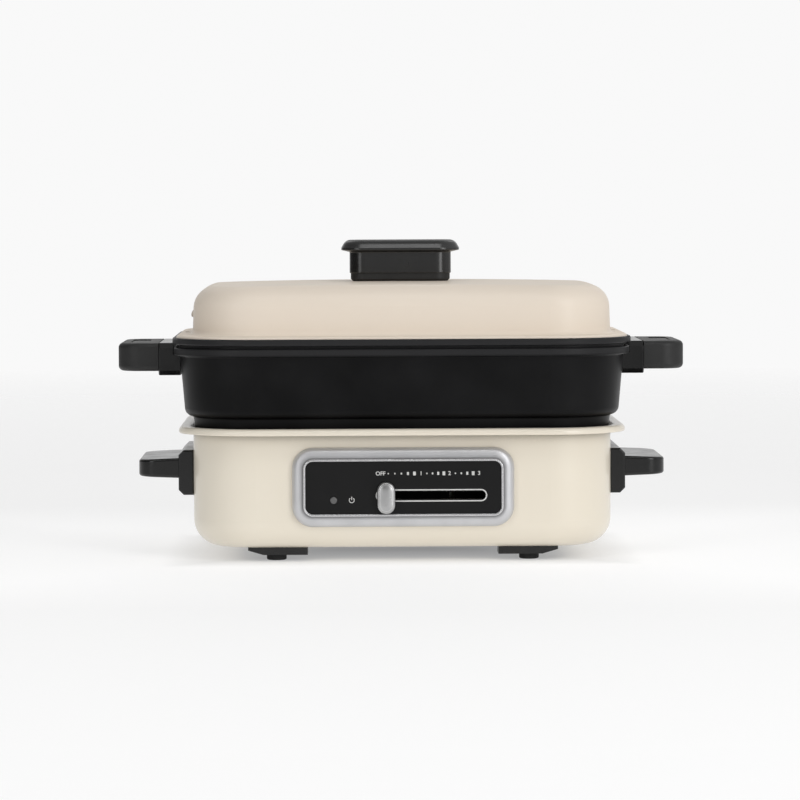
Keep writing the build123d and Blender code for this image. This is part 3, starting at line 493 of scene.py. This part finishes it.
marks = {
    "proud": 0.06 * mm,
    "rowZ": 62.8 * mm,
    "stops": [12.3 * mm, 32.1 * mm, 52.7 * mm],
    "offX": -15.9 * mm,
    "offClear": 5.4 * mm,
    "stopClear": 4.1 * mm,
    "spots": [
        [(0.9, 1.0), (1.0, 1.1), (1.1, 1.4), (1.4, 2.1), (1.9, 2.7)],
        [(1.0, 1.1), (1.1, 1.5), (1.4, 2.2), (1.9, 2.7)],
        [(1.0, 1.1), (1.1, 1.5), (1.4, 2.2), (1.9, 2.7)],
    ],
    "spotSteps": 4,
    "dotTall": 1.6,  # lower spots are round dots
    "blockShare": 0.3,
    "lettering": 3.9 * mm,
    "bold": 0.07 * mm,
    "slotX": 19.5 * mm,
    "slotZ": 47.5 * mm,
    "slotWide": 77.7 * mm,
    "slotTall": 8.6 * mm,
    "line": 0.85 * mm,
    "powerX": -36.0 * mm,
    "powerZ": 44.4 * mm,
    "powerRadius": 1.75 * mm,
    "powerLine": 0.5 * mm,
    "powerGap": 38.0,
    "barPlaceShare": 0.75,
    "barTallShare": 1.3,
    "barRoundShare": 0.6,
    "arcSteps": 12,
}
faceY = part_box("control_panel")[0][1]


def roundedOutline(middle, half, corner, steps):
    points = []
    for turn in range(4):
        sideX = 1 if turn in (0, 3) else -1
        sideZ = 1 if turn in (0, 1) else -1
        for step in range(steps + 1):
            angle = math.radians(90 * turn + 90 * step / steps)
            x = middle[0] + sideX * (half[0] - corner) + corner * math.cos(angle)
            z = middle[1] + sideZ * (half[1] - corner) + corner * math.sin(angle)
            points.append((x, z))
    return points


def addRings(bm, rows):
    # faces between each ring of points and the next
    count = len(rows[0])
    for first, second in zip(rows, rows[1:]):
        for i in range(count):
            j = (i + 1) % count
            bm.faces.new((first[i], first[j], second[j], second[i]))


def addPrism(bm, first, second):
    bm.faces.new(first)
    bm.faces.new(list(reversed(second)))
    addRings(bm, [first, second])


def addSpot(bm, x, z, wide, tall, roundShare):
    # a small printed block with rounded corners
    corner = min(wide, tall) / 2 * roundShare
    outline = roundedOutline((x, z), (wide / 2, tall / 2), corner, marks["spotSteps"])
    depths = (faceY - marks["proud"], faceY)
    front, back = [[bm.verts.new((across, depth, up)) for across, up in outline] for depth in depths]
    addPrism(bm, front, back)


def addLine(bm, outer, inner, closed=True):
    # a printed line between two outlines of equal count
    rows = []
    for depth in (faceY - marks["proud"], faceY):
        rows.append([bm.verts.new((x, depth, z)) for x, z in outer])
        rows.append([bm.verts.new((x, depth, z)) for x, z in inner])
    count = len(outer)
    for i in range(count if closed else count - 1):
        j = (i + 1) % count
        bm.faces.new((rows[0][i], rows[0][j], rows[1][j], rows[1][i]))
        bm.faces.new((rows[2][j], rows[2][i], rows[3][i], rows[3][j]))
        bm.faces.new((rows[0][j], rows[0][i], rows[2][i], rows[2][j]))
        bm.faces.new((rows[1][i], rows[1][j], rows[3][j], rows[3][i]))
    if not closed:
        for i in (0, count - 1):
            bm.faces.new((rows[0][i], rows[1][i], rows[3][i], rows[2][i]))


def pillOutline(x, z, wide, tall, steps):
    points = []
    for side in (1, -1):
        for step in range(steps + 1):
            angle = math.radians(-90 + 180 * step / steps + (0 if side == 1 else 180))
            cx = x + side * (wide - tall) / 2
            points.append((cx + tall / 2 * math.cos(angle), z + tall / 2 * math.sin(angle)))
    return points


def arcOutline(x, z, radius, start, end, steps):
    points = []
    for step in range(steps + 1):
        angle = math.radians(start + (end - start) * step / steps)
        points.append((x + radius * math.cos(angle), z + radius * math.sin(angle)))
    return points


def finishMesh(name, bm, mat):
    bmesh.ops.remove_doubles(bm, verts=bm.verts[:], dist=weld)
    bmesh.ops.recalc_face_normals(bm, faces=bm.faces[:])
    mesh = bpy.data.meshes.new(name)
    bm.to_mesh(mesh)
    bm.free()
    mesh.materials.append(mat)
    piece = bpy.data.objects.new(name, mesh)
    bpy.context.scene.collection.objects.link(piece)
    return piece


def printScale():
    bm = bmesh.new()
    starts = [marks["offX"] + marks["offClear"]]
    starts += [stop + marks["stopClear"] for stop in marks["stops"][:-1]]
    for start, stop, spots in zip(starts, marks["stops"], marks["spots"]):
        pitch = (stop - start) / len(spots)
        for i, (wide, tall) in enumerate(spots):
            roundShare = 1.0 if tall < marks["dotTall"] else marks["blockShare"]
            addSpot(bm, start + i * pitch, marks["rowZ"], wide * mm, tall * mm, roundShare)
    pills = []
    for slim in (0.0, 2 * marks["line"]):
        wide = marks["slotWide"] - slim
        tall = marks["slotTall"] - slim
        pills.append(pillOutline(marks["slotX"], marks["slotZ"], wide, tall, marks["arcSteps"]))
    addLine(bm, *pills)
    start = 90 + marks["powerGap"]  # the ring is open at its top
    end = 450 - marks["powerGap"]
    arcs = []
    for side in (1, -1):
        radius = marks["powerRadius"] + side * marks["powerLine"] / 2
        arcs.append(arcOutline(marks["powerX"], marks["powerZ"], radius, start, end, 2 * marks["arcSteps"]))
    addLine(bm, *arcs, closed=False)
    barZ = marks["powerZ"] + marks["powerRadius"] * marks["barPlaceShare"]
    barTall = marks["powerRadius"] * marks["barTallShare"]
    addSpot(bm, marks["powerX"], barZ, marks["powerLine"], barTall, marks["barRoundShare"])
    return finishMesh("panel_marks", bm, markWhite)


def printWord(name, word, x, size):
    curve = bpy.data.curves.new(name, "FONT")
    curve.body = word
    curve.size = size
    curve.align_x = "CENTER"
    curve.align_y = "CENTER"
    curve.extrude = marks["proud"] / 2
    curve.offset = marks["bold"]
    draft = bpy.data.objects.new(name + "_draft", curve)
    bpy.context.scene.collection.objects.link(draft)
    bpy.context.view_layer.update()
    mesh = bpy.data.meshes.new_from_object(draft.evaluated_get(bpy.context.evaluated_depsgraph_get()))
    bpy.data.objects.remove(draft)
    place = Matrix.Translation((x, faceY - marks["proud"] / 2, marks["rowZ"]))
    mesh.transform(place @ Matrix.Rotation(math.pi / 2, 4, "X"))
    mesh.materials.clear()
    mesh.materials.append(markWhite)
    piece = bpy.data.objects.new(name, mesh)
    bpy.context.scene.collection.objects.link(piece)
    return piece


def smoothPiece(piece, sharp):
    for face in piece.data.polygons:
        face.use_smooth = True
    piece.data.set_sharp_from_angle(angle=math.radians(sharp))


def bezelSection():
    # points round the frame's section: inwards from its outer edge, forwards from its back
    low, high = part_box("control_bezel")
    depth = high[1] - low[1]
    panelFront = high[1] - faceY
    tilt = math.atan(bezel["slope"])
    radius = bezel["radius"]
    turn = math.pi / 2 - tilt
    start = bezel["edge"] - radius * math.tan(turn / 2)
    points = [(0.0, 0.0)]
    for step in range(bezel["arcSteps"] + 1):
        angle = turn * step / bezel["arcSteps"]
        points.append((radius * (1 - math.cos(angle)), start + radius * math.sin(angle)))
    faceStart = points[-1][0]
    lipStart = bezel["frame"] - bezel["lip"]
    for step in range(1, bezel["faceSteps"] + 1):
        inward = faceStart + (lipStart - faceStart) * step / bezel["faceSteps"]
        past = max(0.0, inward - bezel["fallFrom"])
        points.append((inward, bezel["edge"] + bezel["slope"] * inward - bezel["fall"] * past ** 2))
    edge = bezel["lipEdge"]
    for centre, first in ((lipStart + edge, 180), (bezel["frame"] - edge, 90)):
        for step in range(bezel["lipSteps"] + 1):
            angle = math.radians(first - 90 * step / bezel["lipSteps"])
            points.append((centre + edge * math.cos(angle), depth - edge + edge * math.sin(angle)))
    ledgeStart = bezel["frame"] - bezel["ledge"]
    points += [(bezel["frame"], panelFront), (ledgeStart, panelFront), (ledgeStart, 0.0)]
    return points


def addBezel():
    # the frame with a rounder fall to its lip than the solid has
    low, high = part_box("control_bezel")
    middle, half = frontSpan(low, high)
    bm = bmesh.new()
    rows = []
    for inward, forward in bezelSection():
        inner = [side - inward for side in half]
        ring = roundedOutline(middle, inner, bezel["corner"] - inward, bezel["cornerSteps"])
        rows.append([bm.verts.new((x, high[1] - forward, z)) for x, z in ring])
    addRings(bm, rows + rows[:1])
    piece = finishMesh("bezel_frame", bm, bezelSilver)
    smoothPiece(piece, bezel["sharp"])
    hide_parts("control_bezel")
    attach(piece, "base")


slideCap = {
    "inset": 1.65 * mm,
    "rise": 0.8 * mm,
    "sink": 0.02 * mm,
    "rows": 8,
    "cornerSteps": 12,
    "sharp": 40.0,
}


def addSlideCap():
    # the slide knob's face bulges a little
    low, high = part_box("slide_knob")
    middle, half = frontSpan(low, high)
    straight = half[1] - half[0]
    bm = bmesh.new()
    rows = []
    for step in range(slideCap["rows"]):
        share = 1 - step / slideCap["rows"]
        reach = (half[0] - slideCap["inset"]) * share
        y = low[1] + slideCap["sink"] - slideCap["rise"] * (1 - share ** 2)
        ring = roundedOutline(middle, (reach, straight + reach), reach, slideCap["cornerSteps"])
        rows.append([bm.verts.new((x, y, z)) for x, z in ring])
    addRings(bm, rows)
    bm.faces.new(rows[-1])
    bm.faces.new(list(reversed(rows[0])))
    piece = finishMesh("slide_cap", bm, slideSilver)
    smoothPiece(piece, slideCap["sharp"])
    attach(piece, "slide")


trim = {
    "inset": 0.25 * mm,
    "width": 1.1 * mm,
    "crown": 0.30 * mm,
    "sink": 0.02 * mm,
    "cornerSteps": 10,
    "arcSteps": 6,
}


def addTrim():
    # a polished half-round line on the bezel's inner lip
    low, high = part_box("control_bezel")
    middle, half = frontSpan(low, high)
    bm = bmesh.new()
    rows = []
    for step in range(trim["arcSteps"] + 1):
        angle = math.pi * step / trim["arcSteps"]
        inward = bezel["frame"] - trim["inset"] - trim["width"] / 2 * (1 - math.cos(angle))
        y = low[1] - trim["crown"] * math.sin(angle) + trim["sink"]
        inner = [side - inward for side in half]
        ring = roundedOutline(middle, inner, bezel["corner"] - inward, trim["cornerSteps"])
        rows.append([bm.verts.new((x, y, z)) for x, z in ring])
    addRings(bm, rows + rows[:1])
    piece = finishMesh("bezel_trim", bm, trimSilver)
    for face in piece.data.polygons:
        face.use_smooth = True
    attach(piece, "base")


shadePlate = {
    "x": (36.0 * mm, 68.0 * mm),
    "z": (38.5 * mm, 56.5 * mm),
    "sheet": 0.4 * mm,
    "back": 4.3 * mm,
}


def addShade():
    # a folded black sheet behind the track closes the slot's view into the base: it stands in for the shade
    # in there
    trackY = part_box("slide_track")[1][1]
    lowX, highX = shadePlate["x"]
    lowZ, highZ = shadePlate["z"]
    sheet = shadePlate["sheet"]
    backY = trackY + shadePlate["back"]
    outline = [(trackY, lowZ), (backY, lowZ), (backY, highZ), (trackY, highZ)]
    outline += [(trackY, highZ - sheet), (backY - sheet, highZ - sheet)]
    outline += [(backY - sheet, lowZ + sheet), (trackY, lowZ + sheet)]
    bm = bmesh.new()
    left, right = [[bm.verts.new((x, y, z)) for y, z in outline] for x in (lowX, highX)]
    addPrism(bm, left, right)
    piece = finishMesh("slot_shade", bm, voidShadeBlack)
    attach(piece, "base")


addBezel()
addSlideCap()
addTrim()
addShade()
printed = [printScale(), printWord("panel_off", "OFF", marks["offX"], marks["lettering"])]
for level, stop in enumerate(marks["stops"], 1):
    printed.append(printWord(f"panel_level_{level}", str(level), stop, marks["lettering"]))
for piece in printed:
    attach(piece, "base")
print("control panel done")

# inner pieces and metal

zincSteel = makeFinish("zincSteel", {
    "colour": shade(186, 188, 190),
    "drift": shade(170, 172, 176),
    "edge": shade(222, 223, 224),
    "driftScale": 90.0,
    "rough": (0.28, 0.42),
    "glossScale": 120.0,
    "grain": 0.2,
    "grainScale": 1500.0,
    "metal": 1.0,
})
reflectorSheet = makeFinish("reflectorSheet", {
    "colour": shade(206, 206, 206),
    "drift": shade(192, 193, 195),
    "driftScale": 18.0,
    "rough": (0.22, 0.36),
    "glossScale": 40.0,
    "grain": 0.18,
    "grainScale": 260.0,
    "stretch": (0.05, 1, 1),
    "metal": 1.0,
})
elementSheath = makeFinish("elementSheath", {
    "colour": shade(74, 72, 70),
    "drift": shade(98, 92, 88),
    "driftScale": 60.0,
    "rough": (0.45, 0.62),
    "glossScale": 90.0,
    "grain": 0.3,
    "grainScale": 1200.0,
    "metal": 0.8,
})
brassMetal = makeFinish("brassMetal", {
    "colour": shade(200, 166, 98),
    "drift": shade(184, 148, 84),
    "driftScale": 120.0,
    "rough": (0.25, 0.4),
    "glossScale": 200.0,
    "grain": 0.15,
    "grainScale": 1500.0,
    "metal": 1.0,
})
ceramicBody = makeFinish("ceramicBody", {
    "colour": shade(226, 222, 212),
    "drift": shade(214, 209, 198),
    "driftScale": 80.0,
    "rough": (0.5, 0.65),
    "glossScale": 120.0,
    "grain": 0.25,
    "grainScale": 1200.0,
})
nylonBody = makeFinish("nylonBody", {
    "colour": shade(224, 221, 208),
    "drift": shade(216, 212, 198),
    "driftScale": 80.0,
    "rough": (0.4, 0.5),
    "glossScale": 120.0,
    "grain": 0.15,
    "grainScale": 1500.0,
})
coverSheet = makeFinish("coverSheet", {
    "colour": shade(168, 169, 170),
    "drift": shade(156, 157, 160),
    "edge": shade(200, 201, 202),
    "driftScale": 26.0,
    "rough": (0.4, 0.55),
    "glossScale": 60.0,
    "grain": 0.3,
    "grainScale": 700.0,
    "metal": 0.9,
})
sleeveBraid = makeFinish("sleeveBraid", {
    "colour": shade(210, 206, 194),
    "drift": shade(180, 174, 160),
    "driftScale": 900.0,
    "rough": (0.75, 0.9),
    "glossScale": 300.0,
    "grain": 0.6,
    "grainScale": 1800.0,
})
lampGlass = makeFinish("lampGlass", {
    "colour": shade(226, 120, 70),
    "drift": shade(210, 98, 52),
    "driftScale": 300.0,
    "rough": (0.1, 0.2),
    "glossScale": 200.0,
    "grain": 0.05,
    "grainScale": 1500.0,
    "clear": 0.5,
})
dress(zincSteel, "bottom_screws", "base_handle_screws", "thermostat_bracket", "bracket_rivets")
dress(zincSteel, "reflector_brackets", "element_clips", "pot_handle_screws", "knob_screw", "knob_washer")
dress(reflectorSheet, "heat_reflector")
dress(elementSheath, "heating_element")
dress(brassMetal, "thermostat_tabs", "element_terminals", "inlet_pins", "thermostat_shaft")
dress(ceramicBody, "thermostat_body", "thermal_fuse")
dress(nylonBody, "thermostat_pinion")
# the rack and track near-black as the shade inside the slot
dress(voidShadeBlack, "slide_rack", "slide_track")
dress(coverSheet, "bottom_cover")
dress(sleeveBraid, "inner_wiring")
dress(lampGlass, "indicator_lamp")
crossCut = {"reachShare": 0.30, "widthShare": 0.11, "proud": 0.04 * mm, "sink": 0.05 * mm}


def meshIslands(mesh):
    # the separate solids of one node, each as a list of points
    bm = bmesh.new()
    bm.from_mesh(mesh)
    bmesh.ops.remove_doubles(bm, verts=bm.verts[:], dist=weld)
    left = set(bm.verts)
    islands = []
    while left:
        queue = [left.pop()]
        points = []
        while queue:
            vert = queue.pop()
            points.append(vert.co.copy())
            for edge in vert.link_edges:
                other = edge.other_vert(vert)
                if other in left:
                    left.remove(other)
                    queue.append(other)
        islands.append(points)
    bm.free()
    return islands


def addCrosses(name, node, body):
    # cross recesses on the screw heads that face down, as black crosses: painted shade of the recesses
    bm = bmesh.new()
    for points in meshIslands(nodes[node].data):
        low = min(point.z for point in points)
        flat = [Vector((point.x, point.y, 0)) for point in points]
        middle = sum(flat, Vector()) / len(flat)
        head = 2 * max((point - middle).length for point in flat)
        far = crossCut["reachShare"] * head
        near = crossCut["widthShare"] * head / 2
        outline = [(far, near), (near, near), (near, far), (-near, far), (-near, near), (-far, near)]
        outline += [(-x, -y) for x, y in outline]
        rows = []
        for z in (low - crossCut["proud"], low + crossCut["sink"]):
            rows.append([bm.verts.new((middle.x + x, middle.y + y, z)) for x, y in outline])
        addPrism(bm, *rows)
    piece = finishMesh(name, bm, voidShadeBlack)
    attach(piece, body)


addCrosses("bottom_screw_crosses", "bottom_screws", "base")
addCrosses("pot_screw_crosses", "pot_handle_screws", "pot")
print("inner pieces done")

# floor, light and camera

studio = {
    "floorRadius": 3.2,
    "floorSegments": 96,
    "floorRough": 0.75,
    "floorSpecular": 0.2,
    "floorFade": (0.9, 3.0),
    "floorColour": (0.50, 0.50, 0.50, 1),
    # painted shadow under the cooker and painted light just round it: glow levels by share of the distance
    "floorGlowAndShadow": [(0.0, 0.20), (0.20, 0.33), (0.27, 0.45), (0.34, 0.62), (0.56, 0.59), (1.0, 0.52)],
    "glowAndShadowReach": (-0.11, 0.30),
    "shadowHalf": (0.140, 0.098),
    "backdrop": 0.946,
    "lightAim": (0.0, 0.0, 0.1),
}
airLobes = [
    {"toward": (1, 0, 0), "from": (0.0, 1.0), "level": 0.40},
    {"toward": (0, 0, 1), "from": (0.0, 1.0), "level": 0.45},
    {"toward": (0, 1, 0), "from": (0.0, 1.0), "level": 0.15},
    {"toward": (0, 1, 0), "from": (0.72, 0.98), "level": 0.65},
]


def addGlow(tree, coords):
    # the table's own light, by the distance from the cooker's footprint: dimmer under it as a painted
    # shadow, brightest a little way out as painted light
    split = addSplit(tree, coords)
    sides = []
    for axis, half in zip("XY", studio["shadowHalf"]):
        sides.append(addMath(tree, "SUBTRACT", addMath(tree, "ABSOLUTE", split[axis]), half))
    share = addRange(tree, addMath(tree, "MAXIMUM", *sides), (0.0, 1.0), studio["glowAndShadowReach"])
    ramp = addNode(tree, "ShaderNodeValToRGB")
    stops = ramp.color_ramp.elements
    while len(stops) < len(studio["floorGlowAndShadow"]):
        stops.new(1.0)
    for stop, (place, level) in zip(stops, studio["floorGlowAndShadow"]):
        stop.position = place
        stop.color = (level, level, level, 1)
    tree.links.new(share, ramp.inputs["Fac"])
    return ramp.outputs["Color"]


def buildFloor():
    bm = bmesh.new()
    segments, radius = studio["floorSegments"], studio["floorRadius"]
    bmesh.ops.create_circle(bm, cap_ends=True, segments=segments, radius=radius)
    mat = bpy.data.materials.new("paleFloor")
    mat.use_nodes = True
    tree = mat.node_tree
    shader = tree.nodes["Principled BSDF"]
    shader.inputs["Base Color"].default_value = studio["floorColour"]
    shader.inputs["Roughness"].default_value = studio["floorRough"]
    shader.inputs["Specular IOR Level"].default_value = studio["floorSpecular"]
    shader.inputs["Emission Color"].default_value = (1, 1, 1, 1)
    coords = addNode(tree, "ShaderNodeTexCoord").outputs["Object"]
    tree.links.new(addGlow(tree, coords), shader.inputs["Emission Strength"])
    far = addNode(tree, "ShaderNodeVectorMath", operation="LENGTH")
    tree.links.new(coords, far.inputs[0])
    fade = addRange(tree, far.outputs["Value"], (1.0, 0.0), studio["floorFade"])
    tree.links.new(fade, shader.inputs["Alpha"])
    floor = finishMesh("floor", bm, mat)


def buildAir():
    world = bpy.data.worlds.new("studioAir")
    bpy.context.scene.world = world
    world.use_nodes = True
    tree = world.node_tree
    tree.nodes.clear()
    coords = addNode(tree, "ShaderNodeTexCoord").outputs["Generated"]
    level = None
    for lobe in airLobes:
        along = addNode(tree, "ShaderNodeVectorMath", operation="DOT_PRODUCT")
        along.inputs[1].default_value = lobe["toward"]
        tree.links.new(coords, along.inputs[0])
        part = addRange(tree, along.outputs["Value"], (0.0, lobe["level"]), lobe["from"])
        level = part if level is None else addMath(tree, "ADD", level, part)
    lit = addNode(tree, "ShaderNodeBackground")
    lit.inputs["Color"].default_value = (1, 1, 1, 1)
    tree.links.new(level, lit.inputs["Strength"])
    seen = addNode(tree, "ShaderNodeBackground")
    seen.inputs["Color"].default_value = (1, 1, 1, 1)
    seen.inputs["Strength"].default_value = studio["backdrop"]
    path = addNode(tree, "ShaderNodeLightPath")
    mix = addNode(tree, "ShaderNodeMixShader")
    tree.links.new(path.outputs["Is Camera Ray"], mix.inputs["Fac"])
    tree.links.new(lit.outputs["Background"], mix.inputs[1])
    tree.links.new(seen.outputs["Background"], mix.inputs[2])
    out = addNode(tree, "ShaderNodeOutputWorld")
    tree.links.new(mix.outputs["Shader"], out.inputs["Surface"])


softboxes = [
    {"name": "keyRight", "place": (1.5, -2.0, 1.0), "size": (0.9, 1.9), "power": 21.0},
    {"name": "fillLeft", "place": (-1.6, -2.0, 0.9), "size": (0.9, 1.7), "power": 10.4},
    {"name": "frontLow", "place": (0.0, -2.9, 0.35), "size": (2.4, 0.5), "power": 2.0},
    {"name": "frontStrip", "place": (0.0, -1.25, 2.1), "size": (1.8, 0.4), "power": 6.0},
    {"name": "sideRight", "place": (2.2, -0.2, 0.9), "size": (1.0, 1.4), "power": 1.2},
    {"name": "backTop", "place": (0.0, 1.8, 1.8), "size": (2.4, 0.8), "power": 5.0},
]


def buildLights():
    for box in softboxes:
        light = bpy.data.lights.new(box["name"], "AREA")
        light.shape = "RECTANGLE"
        light.size, light.size_y = box["size"]
        light.energy = box["power"]
        lamp = bpy.data.objects.new(box["name"], light)
        lamp.location = box["place"]
        aim = Vector(studio["lightAim"]) - lamp.location
        lamp.rotation_euler = aim.to_track_quat("-Z", "Y").to_euler()
        lamp.visible_camera = False
        bpy.context.scene.collection.objects.link(lamp)


camera = {
    "place": (-0.040, -2.696, 0.251),
    "aim": (-0.0005, 0.0, 0.1082),
    "lens": 167.7,
    "sensor": 36.0,
    "roll": -0.25,
    "clipEnd": 50.0,
}


def buildCamera():
    lens = bpy.data.cameras.new("camera")
    lens.lens = camera["lens"]
    lens.sensor_width = camera["sensor"]
    lens.clip_end = camera["clipEnd"]
    eye = bpy.data.objects.new("camera", lens)
    eye.location = camera["place"]
    look = (Vector(camera["aim"]) - eye.location).to_track_quat("-Z", "Y")
    roll = Quaternion((0, 0, 1), math.radians(camera["roll"]))
    eye.rotation_mode = "QUATERNION"
    eye.rotation_quaternion = look @ roll
    bpy.context.scene.collection.objects.link(eye)
    bpy.context.scene.camera = eye


buildFloor()
buildAir()
buildLights()
buildCamera()
bpy.context.scene.view_settings.view_transform = "Standard"
print("studio done")
